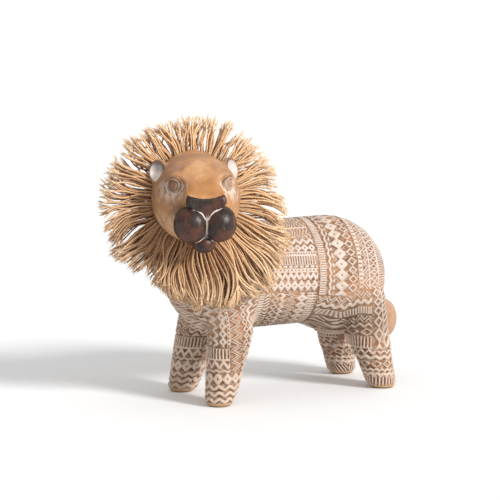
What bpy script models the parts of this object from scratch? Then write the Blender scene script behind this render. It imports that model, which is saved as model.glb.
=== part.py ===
"""A resin lion figurine: one casting that stands on four legs, with a mane of jute cords round its head.

Units are metres and +Z is up. The lion walks towards -X and turns its head to its left, towards -Y. The
origin is on the floor, under the middle of the whole figure's box.

The casting is sculpted from masses, which are rounded cones and eggs. Rough blocks of them are fused by a
voxel remesh, and each point is then drawn onto the smooth surface that blends the masses together. The mane is
a ring of locks of cords, seated in a groove behind the face.
"""

import math
import random

import bmesh
import bpy
import numpy as np
from mathutils import Matrix

# Driving dimensions
HEIGHT = 0.203  # of the casting, from its soles to the crown of its head
CORD_LENGTH = 0.0465  # of the mane's cords, from the groove to their tips
MANE_THICKNESS = 0.011  # from the front cords to the back ones, where they are glued in
SEAT_RADIUS = 0.0295  # of the groove's floor, on which the cords are glued
MANE_GAP = 0.0004  # between the mane and the casting

# The casting's pose and proportions are shares of its height. They are written for a casting of 203 mm
SHARE = HEIGHT / 203

# Facets
VOXEL = 2.0 * SHARE
CLEAN_VOXEL = 1.2 * SHARE
CASTING_TRIANGLES = 5700
LOCKS = 44
LOCK_STEPS = 6


def shares(*values):
    """A point or a set of radii, written in shares of the height."""
    return np.array(values, float) * SHARE


# Distances to the masses, on arrays of points


def smooth_union(first, second, blend):
    """The nearer of two surfaces, with a fillet where they meet."""
    overlap = np.maximum(blend - np.abs(first - second), 0) / blend
    return np.minimum(first, second) - overlap**2 * blend / 4


def smooth_cut(first, second, blend):
    """The first form with the second taken away, with its rim rounded."""
    return -smooth_union(-first, second, blend)


class Cone:
    """A rounded cone between two balls, squashed sideways by its width."""

    def __init__(self, start, end, start_radius, end_radius, blend=1.0, width=1.0):
        self.start, self.end = shares(*start), shares(*end)
        self.start_radius, self.end_radius = start_radius * SHARE, end_radius * SHARE
        self.blend = blend * SHARE
        self.squash = np.array((1, width, 1))

    def distance(self, points):
        start, along = self.start / self.squash, (self.end - self.start) / self.squash
        local = points / self.squash - start
        place = np.clip(local @ along / (along @ along), 0, 1)
        radius = self.start_radius + place * (self.end_radius - self.start_radius)
        return np.linalg.norm(local - place[:, None] * along, axis=1) - radius

    def balls(self):
        """The two balls whose hull is the cone, as matrices of a ball of radius 1."""
        ends = ((self.start, self.start_radius), (self.end, self.end_radius))
        sizes = [(*(self.squash * radius), 1) for _, radius in ends]
        return [Matrix.Translation(place) @ Matrix.Diagonal(size) for (place, _), size in zip(ends, sizes)]


class Egg:
    """An ellipsoid. Its axes are the rows of a rotation matrix."""

    def __init__(self, centre, radii, blend=1.0, axes=None):
        self.centre, self.radii = shares(*centre), shares(*radii)
        self.blend = blend * SHARE
        self.axes = np.eye(3) if axes is None else axes

    def distance(self, points):
        local = (points - self.centre) @ self.axes.T
        reach = np.linalg.norm(local / self.radii, axis=1)
        slope = np.linalg.norm(local / self.radii**2, axis=1)
        return reach * (reach - 1) / np.maximum(slope, 1e-9)

    def balls(self):
        turn = Matrix(self.axes.T.tolist()).to_4x4()
        return [Matrix.Translation(self.centre) @ turn @ Matrix.Diagonal((*self.radii, 1))]


class Block:
    """A block between flat faces. Each face is a place on it, its outward way and its edges' radius."""

    def __init__(self, faces, corners, blend):
        self.faces = [
            (shares(*place), np.array(way) / np.linalg.norm(way), radius * SHARE) for place, way, radius in faces
        ]
        self.corners = [shares(*corner) for corner in corners]
        self.blend = blend * SHARE

    def distance(self, points):
        place, way, _ = self.faces[0]
        distance = (points - place) @ way
        for place, way, radius in self.faces[1:]:
            distance = smooth_cut(distance, (place - points) @ way, radius)
        return distance

    def balls(self):
        """Small balls in the corners, as matrices of a ball of radius 1."""
        return [Matrix.Translation(corner) @ Matrix.Scale(2 * SHARE, 4) for corner in self.corners]


def blended(masses, points):
    """Distance to a set of masses, each blended into those before it."""
    distance = masses[0].distance(points)
    for mass in masses[1:]:
        distance = smooth_union(distance, mass.distance(points), mass.blend)
    return distance


def facing(normal):
    """Axes whose first looks along a normal and whose last is as near up as it can be."""
    first = np.array(normal, float) / np.linalg.norm(normal)
    second = np.cross((0, 0, 1), first)
    second /= np.linalg.norm(second)
    return np.array([first, second, np.cross(first, second)])


# The body is the same on both sides of Y = 0, so each mass is listed once, on its +Y side or in the middle
TORSO = Cone((-56, 0, 98), (34, 0, 98), 43, 43, width=0.88)
RUMP = Egg((50, 0, 89), (42, 38.5, 47), blend=10)
CHEST = Egg((-60, 0, 100), (43, 39, 43), blend=8)
SHOULDERS = Cone((-66, 0, 112), (-90, 0, 128), 37, 33, blend=12)
NECK = Cone((-80, 0, 120), (-86, 0, 152), 34, 32, blend=10)
FRONT_LEG = Cone((-76.5, 33, -2), (-62, 26, 58), 10.6, 18, blend=10)
SHANK = Cone((77.5, 33.5, -2), (69, 28.5, 34), 10.5, 14.6, blend=9)
THIGH = Cone((69, 28.5, 34), (61, 20, 70), 14.6, 22.5, blend=3)
TAIL = Cone((80, 0, 100), (94, 0, 62), 6, 6, blend=8)
TUFT = Egg((98, 0, 50), (11, 9, 16), blend=3)
BODY = [TORSO, RUMP, CHEST, SHOULDERS, NECK, FRONT_LEG, SHANK, THIGH, TAIL, TUFT]

# The head has its own axes: forward out of the face, sideways, and up. Its two sides are the same too
HEAD_CENTRE = shares(-89.5, -20.5, 166.5)
HEAD_AXES = facing((-0.28, -0.96, 0))
EAR_AXES = facing((0.75, 0.60, 0.25))
SKULL = Egg((-2, 0, -0.5), (32, 35.6, 35.8))
NAPE = Egg((-24, 0, 4), (26, 32, 33), blend=10)
BROW = Egg((16.2, 17.6, 19.6), (5.8, 8, 4.2), blend=4)
BRIDGE = Block(
    faces=[((41.5, 0, 7), (0.63, 0, 0.777), 1), ((0, 16.2, 0), (0, 1, 0.06), 3.5),
           ((41.5, 0, 7), (0.99, 0, 0.12), 2), ((0, 0, -11), (0, 0.616, -0.788), 1.5),
           ((16, 0, 0), (-1, 0, 0), 2)],
    corners=[(ahead, side, up) for side in (0, 13) for ahead, up in ((18, 21), (39, 5), (40, -7), (18, -10))],
    blend=3,
)
PAD = Egg((35, 11.2, -15.1), (13.6, 13.9, 14.6), blend=1.2)
CHIN = Egg((30, 0, -30.5), (11, 9.4, 8.4), blend=1.2)
EYE = Egg((19.5, 21.8, 13.8), (1.8, 4.6, 4.6), blend=0.8, axes=facing((0.72, 0.59, 0.3)))
EAR = Egg((-8, 29.4, 21.8), (4.2, 7.9, 9.8), blend=4, axes=EAR_AXES)
HEAD = [SKULL, NAPE, BROW, BRIDGE, PAD, CHIN, EYE, EAR]
EAR_CUP = Egg((-4.4, 32.1, 22.7), (4.2, 6.5, 8.3), blend=1.2, axes=EAR_AXES)

NECK_BLEND = 12 * SHARE
GROOVE_BLEND = 1.5 * SHARE
SOLE_BLEND = 7 * SHARE
SOLE_DROP = 0.8 * SHARE  # the rough legs reach this far under the floor, and are cut off there

# The mane's ring lies behind the face and leans back a little. Its axes are forward, sideways and up as well
MANE_TILT = math.radians(19)
MANE_CENTRE = HEAD_CENTRE + shares(-10, 0, -5) @ HEAD_AXES
MANE_AXES = np.array([[math.cos(MANE_TILT), 0, math.sin(MANE_TILT)], [0, 1, 0],
                      [-math.sin(MANE_TILT), 0, math.cos(MANE_TILT)]]) @ HEAD_AXES
GROOVE_HALF_WIDTH = MANE_THICKNESS / 2 + MANE_GAP
GROOVE_REACH = SEAT_RADIUS + 1.8 * CORD_LENGTH  # clears all that the mane's cords cross
GROOVE_SEGMENTS = 72
ALLOWANCE = 0.0012  # left on the groove's faces, for its clean cut


def folded(points):
    """Points with both sides folded onto one."""
    return points * (1, 0, 1) + np.abs(points) * (0, 1, 0)


def casting_distance(points):
    """Distance from the casting's surface, negative inside."""
    face = folded((points - HEAD_CENTRE) @ HEAD_AXES.T)
    head = smooth_cut(blended(HEAD, face), EAR_CUP.distance(face), EAR_CUP.blend)
    ring = (points - MANE_CENTRE) @ MANE_AXES.T
    rough_half_width = GROOVE_HALF_WIDTH - ALLOWANCE
    ahead_of_mane = -rough_half_width - ring[:, 0]
    body = smooth_cut(blended(BODY, folded(points)), ahead_of_mane, SOLE_BLEND)
    figure = smooth_union(body, head, NECK_BLEND)
    outside_seat = SEAT_RADIUS + ALLOWANCE - np.linalg.norm(ring[:, 1:], axis=1)
    groove = np.maximum(outside_seat, np.abs(ring[:, 0]) - rough_half_width)
    figure = smooth_cut(figure, groove, GROOVE_BLEND)
    return smooth_cut(figure, points[:, 2] + SOLE_DROP, SOLE_BLEND)


def drawn_to_surface(points, rounds=8, step=2e-5):
    """Moves each point down the slope of the distance until it lies on the surface."""
    for _ in range(rounds):
        rises = [
            casting_distance(points + offset) - casting_distance(points - offset)
            for offset in np.eye(3) * step
        ]
        slope = np.stack(rises, axis=1) / (2 * step)
        steepness = np.maximum((slope**2).sum(axis=1), 0.3)
        points = points - (casting_distance(points) / steepness)[:, None] * slope
    return points


# Meshes and objects


def material(name, colour, roughness):
    made = bpy.data.materials.new(name)
    made.use_nodes = True
    shader = made.node_tree.nodes["Principled BSDF"]
    shader.inputs["Base Color"].default_value = (*colour, 1)
    shader.inputs["Roughness"].default_value = roughness
    shader.inputs["Metallic"].default_value = 0
    made.diffuse_color = (*colour, 1)
    return made


def new_object(name, mesh, finish):
    made = bpy.data.objects.new(name, mesh)
    bpy.context.scene.collection.objects.link(made)
    mesh.materials.append(finish)
    return made


def cut_off(form, place, direction):
    """Cuts off what lies beyond a plane, and closes the cut."""
    everything = form.verts[:] + form.edges[:] + form.faces[:]
    bmesh.ops.bisect_plane(
        form, geom=everything, plane_co=place, plane_no=direction, clear_outer=True
    )
    bmesh.ops.holes_fill(form, edges=[edge for edge in form.edges if edge.is_boundary])


def add_block(blocks, balls, cut):
    """Adds the hull of one or two stretched balls, cut off at a plane."""
    block = bmesh.new()
    for ball in balls:
        bmesh.ops.create_uvsphere(block, u_segments=20, v_segments=12, radius=1, matrix=ball)
    bmesh.ops.delete(block, geom=block.edges[:] + block.faces[:], context="EDGES_FACES")
    hull = bmesh.ops.convex_hull(block, input=block.verts)
    inner = [item for item in hull["geom_interior"] if isinstance(item, bmesh.types.BMVert)]
    bmesh.ops.delete(block, geom=inner, context="VERTS")
    cut_off(block, *cut)
    bmesh.ops.recalc_face_normals(block, faces=block.faces)
    mesh = bpy.data.meshes.new("block")
    block.to_mesh(mesh)
    block.free()
    blocks.from_mesh(mesh)
    bpy.data.meshes.remove(mesh)


def rough_blocks():
    """The masses as overlapping blocks on both sides, and the core that joins them through the groove."""
    blocks = bmesh.new()
    ahead = MANE_AXES[0]
    behind_mane = (MANE_CENTRE - ahead * GROOVE_HALF_WIDTH, ahead)
    before_mane = (MANE_CENTRE + ahead * GROOVE_HALF_WIDTH, -ahead)
    head = Matrix.Translation(HEAD_CENTRE) @ Matrix(HEAD_AXES.T.tolist()).to_4x4()
    for masses, frame, cut in ((BODY, Matrix.Identity(4), behind_mane), (HEAD, head, behind_mane),
                               (HEAD, head, before_mane)):
        for mass in masses:
            for side in (1, -1):
                flip = Matrix.Diagonal((1, side, 1, 1))
                add_block(blocks, [frame @ flip @ ball for ball in mass.balls()], cut)
    ring = Matrix.Translation(MANE_CENTRE) @ Matrix(MANE_AXES.T.tolist()).to_4x4()
    bmesh.ops.create_cone(
        blocks, cap_ends=True, segments=32, radius1=SEAT_RADIUS, radius2=SEAT_RADIUS, depth=4 * GROOVE_HALF_WIDTH,
        matrix=ring @ Matrix.Rotation(math.pi / 2, 4, "Y"),
    )
    return blocks


def evaluated(made):
    """A mesh as the object's modifiers leave it."""
    graph = bpy.context.evaluated_depsgraph_get()
    return bpy.data.meshes.new_from_object(made.evaluated_get(graph))


def remeshed(mesh, voxel):
    """One closed skin, which doesn't cross itself, round all that is in the mesh."""
    rough = bpy.data.objects.new("rough", mesh)
    bpy.context.scene.collection.objects.link(rough)
    remesh = rough.modifiers.new("fuse", "REMESH")
    remesh.mode = "VOXEL"
    remesh.voxel_size = voxel
    skin = evaluated(rough)
    bpy.data.objects.remove(rough)
    return skin


def fused(blocks):
    """One closed skin round all the blocks, drawn onto the blended surface."""
    mesh = bpy.data.meshes.new("rough")
    blocks.to_mesh(mesh)
    skin = remeshed(mesh, VOXEL)
    points = drawn_to_surface(np.array([vertex.co for vertex in skin.vertices]))
    skin.vertices.foreach_set("co", points.astype(np.float32).ravel())
    return remeshed(skin, CLEAN_VOXEL)


def lighter(mesh, triangles):
    """The mesh with only so many triangles, kept where the form bends most."""
    heavy = bpy.data.objects.new("heavy", mesh)
    bpy.context.scene.collection.objects.link(heavy)
    decimate = heavy.modifiers.new("lighten", "DECIMATE")
    mesh.calc_loop_triangles()
    decimate.ratio = triangles / len(mesh.loop_triangles)
    decimate.use_collapse_triangulate = True
    light = evaluated(heavy)
    bpy.data.objects.remove(heavy)
    return light


def cut_flat(mesh):
    """Cuts the soles off flat on the floor."""
    form = bmesh.new()
    form.from_mesh(mesh)
    cut_off(form, (0, 0, 0), (0, 0, -1))
    form.to_mesh(mesh)
    form.free()


def groove_cutter():
    """A washer that cuts the mane's groove."""
    cutter = bmesh.new()
    corners = [
        cutter.verts.new(MANE_CENTRE + np.array((ahead, radius, 0)) @ MANE_AXES)
        for ahead, radius in (
            (-GROOVE_HALF_WIDTH, SEAT_RADIUS), (GROOVE_HALF_WIDTH, SEAT_RADIUS),
            (GROOVE_HALF_WIDTH, GROOVE_REACH), (-GROOVE_HALF_WIDTH, GROOVE_REACH),
        )
    ]
    edges = [cutter.edges.new((corners[side - 1], corners[side])) for side in range(4)]
    bmesh.ops.spin(
        cutter, geom=edges, cent=MANE_CENTRE, axis=MANE_AXES[0], angle=math.tau, steps=GROOVE_SEGMENTS,
        use_merge=True,
    )
    bmesh.ops.recalc_face_normals(cutter, faces=cutter.faces)
    mesh = bpy.data.meshes.new("groove_cutter")
    cutter.to_mesh(mesh)
    cutter.free()
    return mesh


def grooved(mesh):
    """The casting with its groove cut clean."""
    casting = bpy.data.objects.new("casting", mesh)
    cutter = bpy.data.objects.new("groove_cutter", groove_cutter())
    for item in (casting, cutter):
        bpy.context.scene.collection.objects.link(item)
    cut = casting.modifiers.new("groove", "BOOLEAN")
    cut.operation = "DIFFERENCE"
    cut.solver = "EXACT"
    cut.object = cutter
    result = evaluated(casting)
    for item in (casting, cutter):
        bpy.data.objects.remove(item)
    return result


def build_casting():
    blocks = rough_blocks()
    mesh = lighter(fused(blocks), CASTING_TRIANGLES)
    blocks.free()
    cut_flat(mesh)
    mesh = grooved(mesh)
    mesh.shade_smooth()
    mesh.set_sharp_from_angle(angle=math.radians(50))
    return new_object("lion_casting", mesh, material("washed resin", (0.62, 0.45, 0.34), 0.7))


# The mane: each lock has two ridges and a valley beside it, and each of these is a row of points

TIP_THICKNESS = 0.55  # of a lock's tip, as a share of the thickness at the roots
VALLEY_DEPTH = 0.42  # of the valleys between the locks, as a share of that thickness
RIDGE_SHARE = 0.22  # of a lock's width, from its middle to each ridge
VALLEY_SHORT = 0.82  # the length of a valley, as a share of its lock's
LENGTH_SWAY = 0.14  # the cords under the chin are so much longer, and those over the crown shorter
LENGTH_SLANT = 0.03  # and those up to the lion's right and down to its left are longer than the others
LENGTH_CHANCE = 0.08  # how much the locks differ in length by chance
WAVE = 0.0030  # how far locks swing to and fro
DROOP = 0.004  # how far the tips hang down


def lock_column(turn, length, depth, thickness_at, swing):
    """Front and back points of one column of the mane, from root to tip."""
    front, back = [], []
    for step in range(LOCK_STEPS + 1):
        share = step / LOCK_STEPS
        reach = SEAT_RADIUS + MANE_GAP + length * share
        droop = DROOP * share**2
        side = math.cos(turn) * reach + swing * share**2
        up = math.sin(turn) * reach - droop * abs(math.cos(turn))
        half = thickness_at(share) / 2
        wave = depth * share**2
        for sheet, ahead in ((front, half + wave), (back, -half + wave)):
            sheet.append(MANE_CENTRE + np.array((ahead, side, up)) @ MANE_AXES)
    return front, back


def ridge_thickness(share):
    return MANE_THICKNESS * (1 - (1 - TIP_THICKNESS) * share**1.5)


def valley_thickness(share):
    return ridge_thickness(share) * (1 - VALLEY_DEPTH * min(1, 3 * share))


def cord_length(turn):
    """The usual length of the cords that point in one direction."""
    return CORD_LENGTH * (1 - LENGTH_SWAY * math.sin(turn) - LENGTH_SLANT * math.sin(2 * turn))


def mane_columns():
    chance = random.Random(7)
    pitch = math.tau / LOCKS
    columns = []
    for lock in range(LOCKS):
        turn = (lock + chance.uniform(-0.15, 0.15)) * pitch
        length = cord_length(turn) * (1 + chance.uniform(-1, 1) * LENGTH_CHANCE)
        depth = WAVE * chance.uniform(0, 1)
        swing = WAVE * chance.uniform(-1, 1)
        for side in (-1, 1):
            cut = length * (1 - chance.uniform(0, 1) * LENGTH_CHANCE)
            ridge = turn + side * pitch * RIDGE_SHARE
            columns.append(lock_column(ridge, cut, depth, ridge_thickness, swing))
        valley = turn + pitch / 2
        columns.append(lock_column(valley, length * VALLEY_SHORT, WAVE / 2, valley_thickness, swing / 2))
    return columns


def build_mane():
    mane = bmesh.new()
    columns = [
        [[mane.verts.new(point) for point in sheet] for sheet in column] for column in mane_columns()
    ]
    for place, (front, back) in enumerate(columns):
        next_front, next_back = columns[(place + 1) % len(columns)]
        for step in range(LOCK_STEPS):
            mane.faces.new((front[step], front[step + 1], next_front[step + 1], next_front[step]))
            mane.faces.new((back[step], next_back[step], next_back[step + 1], back[step + 1]))
        mane.faces.new((front[0], next_front[0], next_back[0], back[0]))
        mane.faces.new((front[-1], back[-1], next_back[-1], next_front[-1]))
    bmesh.ops.recalc_face_normals(mane, faces=mane.faces)
    bmesh.ops.triangulate(mane, faces=mane.faces)
    mesh = bpy.data.meshes.new("cord_mane")
    mane.to_mesh(mesh)
    mane.free()
    return new_object("cord_mane", mesh, material("jute", (0.50, 0.31, 0.15), 0.9))


def centre_on_origin(pieces):
    """Moves the figure so that its box stands on the middle of the floor."""
    points = np.array([vertex.co for piece in pieces for vertex in piece.data.vertices])
    middle = (points.min(axis=0) + points.max(axis=0)) / 2
    for piece in pieces:
        piece.data.transform(Matrix.Translation((-middle[0], -middle[1], 0)))


def main():
    for item in list(bpy.data.objects):
        bpy.data.objects.remove(item)
    centre_on_origin([build_casting(), build_mane()])


main()
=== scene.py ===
"""The lion figurine's looks: its carved and washed casting, its painted face and its mane of jute cords.

Everything is made in the modelling frame of the source, in which the lion's middle plane is Y = 0, and is moved to the
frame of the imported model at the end. The lion walks towards -X and +Z is up.
"""

import math

import bmesh
import bpy
import numpy as np
from mathutils import Matrix, Vector


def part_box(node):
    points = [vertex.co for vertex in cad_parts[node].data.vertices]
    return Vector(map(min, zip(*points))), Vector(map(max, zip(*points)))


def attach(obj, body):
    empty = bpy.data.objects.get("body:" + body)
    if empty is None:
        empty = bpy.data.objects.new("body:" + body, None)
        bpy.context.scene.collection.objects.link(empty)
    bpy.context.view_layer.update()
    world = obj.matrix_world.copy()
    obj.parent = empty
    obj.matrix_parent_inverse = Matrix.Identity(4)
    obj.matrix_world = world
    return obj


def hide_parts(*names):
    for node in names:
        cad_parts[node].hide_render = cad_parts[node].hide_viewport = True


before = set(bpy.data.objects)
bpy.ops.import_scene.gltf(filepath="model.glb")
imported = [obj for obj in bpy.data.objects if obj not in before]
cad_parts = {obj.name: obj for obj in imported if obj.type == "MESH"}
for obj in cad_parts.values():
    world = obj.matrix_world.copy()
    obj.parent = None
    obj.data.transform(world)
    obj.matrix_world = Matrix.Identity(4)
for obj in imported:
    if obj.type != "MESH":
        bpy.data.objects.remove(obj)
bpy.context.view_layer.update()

MM = 0.001
CORD_LENGTH = 46.5 * MM
MANE_THICKNESS = 11 * MM
SEAT_RADIUS = 29.5 * MM
BODY_VOXEL = 0.85 * MM
HEAD_VOXEL = 0.62 * MM

# The casting's masses


def mm(*values):
    """A point or a set of radii in millimetres."""
    return np.array(values, float) * MM


def smooth_union(first, second, blend):
    """The nearer of two surfaces, with a fillet where they meet."""
    overlap = np.maximum(blend - np.abs(first - second), 0) / blend
    return np.minimum(first, second) - overlap**2 * blend / 4


def smooth_cut(first, second, blend):
    """The first form with the second taken away, with its rim rounded."""
    return -smooth_union(-first, second, blend)


class Cone:
    """A rounded cone between two balls, squashed sideways by its width."""

    def __init__(self, start, end, start_radius, end_radius, blend=1.0, width=1.0):
        self.start, self.end = mm(*start), mm(*end)
        self.start_radius, self.end_radius = start_radius * MM, end_radius * MM
        self.blend = blend * MM
        self.squash = np.array((1, width, 1))

    def distance(self, points):
        start, along = self.start / self.squash, (self.end - self.start) / self.squash
        local = points / self.squash - start
        place = np.clip(local @ along / (along @ along), 0, 1)
        radius = self.start_radius + place * (self.end_radius - self.start_radius)
        return np.linalg.norm(local - place[:, None] * along, axis=1) - radius

    def balls(self):
        """The two balls whose hull is the cone, as matrices of a ball of radius 1."""
        ends = ((self.start, self.start_radius), (self.end, self.end_radius))
        return [Matrix.Translation(place) @ Matrix.Diagonal((*(self.squash * radius), 1)) for place, radius in ends]


class Egg:
    """An ellipsoid. Its axes are the rows of a rotation matrix."""

    def __init__(self, centre, radii, blend=1.0, axes=None):
        self.centre, self.radii = mm(*centre), mm(*radii)
        self.blend = blend * MM
        self.axes = np.eye(3) if axes is None else axes

    def local(self, points):
        return (points - self.centre) @ self.axes.T

    def distance(self, points):
        local = self.local(points)
        reach = np.linalg.norm(local / self.radii, axis=1)
        slope = np.linalg.norm(local / self.radii**2, axis=1)
        return reach * (reach - 1) / np.maximum(slope, 1e-9)

    def balls(self):
        turn = Matrix(self.axes.T.tolist()).to_4x4()
        return [Matrix.Translation(self.centre) @ turn @ Matrix.Diagonal((*self.radii, 1))]


class Block:
    """A block between flat faces. Each face is a place on it, its outward way and its edges' radius."""

    def __init__(self, faces, corners, blend):
        self.faces = [
            (mm(*place), np.array(way) / np.linalg.norm(way), radius * MM) for place, way, radius in faces
        ]
        self.corners = [mm(*corner) for corner in corners]
        self.blend = blend * MM

    def distance(self, points):
        place, way, _ = self.faces[0]
        distance = (points - place) @ way
        for place, way, radius in self.faces[1:]:
            distance = smooth_cut(distance, (place - points) @ way, radius)
        return distance

    def balls(self):
        """Small balls in the corners, as matrices of a ball of radius 1."""
        return [Matrix.Translation(corner) @ Matrix.Scale(2 * MM, 4) for corner in self.corners]


def blended(masses, points):
    """Distance to a set of masses, each blended into those before it."""
    distance = masses[0].distance(points)
    for mass in masses[1:]:
        distance = smooth_union(distance, mass.distance(points), mass.blend)
    return distance


def facing(normal):
    """Axes whose first looks along a normal and whose last is as near up as it can be."""
    first = np.array(normal, float) / np.linalg.norm(normal)
    second = np.cross((0, 0, 1), first)
    second /= np.linalg.norm(second)
    return np.array([first, second, np.cross(first, second)])


TORSO = Cone((-56, 0, 98), (34, 0, 98), 43, 43, width=0.88)
RUMP = Egg((50, 0, 89), (42, 38.5, 47), blend=10)
CHEST = Egg((-60, 0, 100), (43, 39, 43), blend=8)
SHOULDERS = Cone((-66, 0, 112), (-90, 0, 128), 37, 33, blend=12)
NECK = Cone((-80, 0, 120), (-86, 0, 152), 34, 32, blend=10)
FRONT_LEG = Cone((-76.5, 33, -2), (-62, 26, 58), 10.6, 18, blend=10)
SHANK = Cone((77.5, 33.5, -2), (69, 28.5, 34), 10.5, 14.6, blend=9)
THIGH = Cone((69, 28.5, 34), (61, 20, 70), 14.6, 22.5, blend=3)
TAIL = Cone((80, 0, 100), (94, 0, 62), 6, 6, blend=8)
TUFT = Egg((98, 0, 50), (11, 9, 16), blend=3)
BODY = [TORSO, RUMP, CHEST, SHOULDERS, NECK, FRONT_LEG, SHANK, THIGH, TAIL, TUFT]

HEAD_CENTRE = mm(-89.5, -20.5, 166.5)
HEAD_AXES = facing((-0.28, -0.96, 0))
EAR_AXES = facing((0.75, 0.60, 0.25))
SKULL = Egg((-2, 0, -0.5), (32, 35.6, 35.8))
NAPE = Egg((-24, 0, 4), (26, 32, 33), blend=10)
BROW = Egg((16.2, 17.6, 19.6), (5.8, 8, 4.2), blend=4)
BRIDGE = Block(
    faces=[((41.5, 0, 7), (0.63, 0, 0.777), 1), ((0, 16.2, 0), (0, 1, 0.06), 3.5),
           ((41.5, 0, 7), (0.99, 0, 0.12), 2), ((0, 0, -11), (0, 0.616, -0.788), 1.5),
           ((16, 0, 0), (-1, 0, 0), 2)],
    corners=[(ahead, side, up) for side in (0, 13) for ahead, up in ((18, 21), (39, 5), (40, -7), (18, -10))],
    blend=3,
)
PAD = Egg((35, 11.2, -15.1), (13.6, 13.9, 14.6), blend=1.2)
CHIN = Egg((30, 0, -30.5), (11, 9.4, 8.4), blend=1.2)
EYE = Egg((19.5, 21.8, 13.8), (1.8, 4.6, 4.6), blend=0.8, axes=facing((0.72, 0.59, 0.3)))
EAR = Egg((-8, 29.4, 21.8), (4.2, 7.9, 9.8), blend=4, axes=EAR_AXES)
HEAD = [SKULL, NAPE, BROW, BRIDGE, PAD, CHIN, EYE, EAR]
EAR_CUP = Egg((-4.4, 32.1, 22.7), (4.2, 6.5, 8.3), blend=1.2, axes=EAR_AXES)

NECK_BLEND = 12 * MM
GROOVE_BLEND = 1.5 * MM
SOLE_BLEND = 7 * MM
SOLE_DROP = 0.8 * MM
MANE_GAP = 0.4 * MM
MANE_TILT = math.radians(19)
MANE_CENTRE = HEAD_CENTRE + mm(-10, 0, -5) @ HEAD_AXES
MANE_AXES = np.array([[math.cos(MANE_TILT), 0, math.sin(MANE_TILT)], [0, 1, 0],
                      [-math.sin(MANE_TILT), 0, math.cos(MANE_TILT)]]) @ HEAD_AXES
GROOVE_HALF_WIDTH = MANE_THICKNESS / 2 + MANE_GAP


def folded(points):
    """Points with both sides folded onto one."""
    return points * (1, 0, 1) + np.abs(points) * (0, 1, 0)


def casting_distance(points):
    """Distance from the casting's surface, negative inside."""
    face = folded((points - HEAD_CENTRE) @ HEAD_AXES.T)
    head = smooth_cut(blended(HEAD, face), EAR_CUP.distance(face), EAR_CUP.blend)
    ring = (points - MANE_CENTRE) @ MANE_AXES.T
    ahead_of_mane = -GROOVE_HALF_WIDTH - ring[:, 0]
    body = smooth_cut(blended(BODY, folded(points)), ahead_of_mane, SOLE_BLEND)
    figure = smooth_union(body, head, NECK_BLEND)
    outside_seat = SEAT_RADIUS - np.linalg.norm(ring[:, 1:], axis=1)
    groove = np.maximum(outside_seat, np.abs(ring[:, 0]) - GROOVE_HALF_WIDTH)
    figure = smooth_cut(figure, groove, GROOVE_BLEND)
    return smooth_cut(figure, points[:, 2] + SOLE_DROP, SOLE_BLEND)


def slope_of(points, step=2e-5):
    """The way that the distance rises at each point."""
    rises = [casting_distance(points + offset) - casting_distance(points - offset) for offset in np.eye(3) * step]
    return np.stack(rises, axis=1) / (2 * step)


def drawn_to_surface(points, rounds=5):
    """Moves each point down the slope of the distance until it lies on the surface."""
    for _ in range(rounds):
        slope = slope_of(points)
        steepness = np.maximum((slope**2).sum(axis=1), 0.3)
        points = points - (casting_distance(points) / steepness)[:, None] * slope
    return points


# Meshes


def mesh_of(name, points, quads):
    """A mesh of four-sided faces."""
    mesh = bpy.data.meshes.new(name)
    mesh.vertices.add(len(points))
    mesh.vertices.foreach_set("co", points.astype(np.float32).ravel())
    mesh.loops.add(quads.size)
    mesh.loops.foreach_set("vertex_index", quads.astype(np.int32).ravel())
    mesh.polygons.add(len(quads))
    mesh.polygons.foreach_set("loop_start", np.arange(0, quads.size, 4, dtype=np.int32))
    mesh.update(calc_edges=True)
    mesh.shade_smooth()
    return mesh


def face_normals(points, quads):
    corners = points[quads]
    return np.cross(corners[:, 2] - corners[:, 0], corners[:, 3] - corners[:, 1])


def point_normals(points, quads):
    """Smooth normals at the points of a mesh of four-sided faces."""
    across = face_normals(points, quads)
    normals = np.zeros_like(points)
    for corner in range(4):
        for axis in range(3):
            normals[:, axis] += np.bincount(quads[:, corner], across[:, axis], len(points))
    return normals / np.maximum(np.linalg.norm(normals, axis=1), 1e-12)[:, None]


def note(mesh, name, values):
    """Keeps a number, or three numbers, for each point of a mesh."""
    kind = "FLOAT" if values.ndim == 1 else "FLOAT_VECTOR"
    kept = mesh.attributes.new(name, kind, "POINT")
    kept.data.foreach_set("value" if values.ndim == 1 else "vector", values.astype(np.float32).ravel())


def part_of(name, points, quads, chosen, normals, notes):
    """A piece of a larger mesh, which keeps the larger mesh's normals along its border."""
    quads = quads[chosen]
    used, place = np.unique(quads, return_inverse=True)
    mesh = mesh_of(name, points[used], place.reshape(quads.shape))
    mesh.normals_split_custom_set_from_vertices(normals[used].astype(np.float32))
    for label, values in notes.items():
        note(mesh, label, values[used])
    return mesh


def cut_off(form, place, direction):
    """Cuts off what lies beyond a plane, and closes the cut."""
    everything = form.verts[:] + form.edges[:] + form.faces[:]
    bmesh.ops.bisect_plane(form, geom=everything, plane_co=place, plane_no=direction, clear_outer=True)
    bmesh.ops.holes_fill(form, edges=[edge for edge in form.edges if edge.is_boundary])


def add_block(blocks, balls, cut):
    """Adds the hull of one or two stretched balls, cut off at a plane."""
    block = bmesh.new()
    for ball in balls:
        bmesh.ops.create_uvsphere(block, u_segments=20, v_segments=12, radius=1, matrix=ball)
    bmesh.ops.delete(block, geom=block.edges[:] + block.faces[:], context="EDGES_FACES")
    hull = bmesh.ops.convex_hull(block, input=block.verts)
    inner = [item for item in hull["geom_interior"] if isinstance(item, bmesh.types.BMVert)]
    bmesh.ops.delete(block, geom=inner, context="VERTS")
    cut_off(block, *cut)
    bmesh.ops.recalc_face_normals(block, faces=block.faces)
    mesh = bpy.data.meshes.new("block")
    block.to_mesh(mesh)
    block.free()
    blocks.from_mesh(mesh)
    bpy.data.meshes.remove(mesh)


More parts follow.
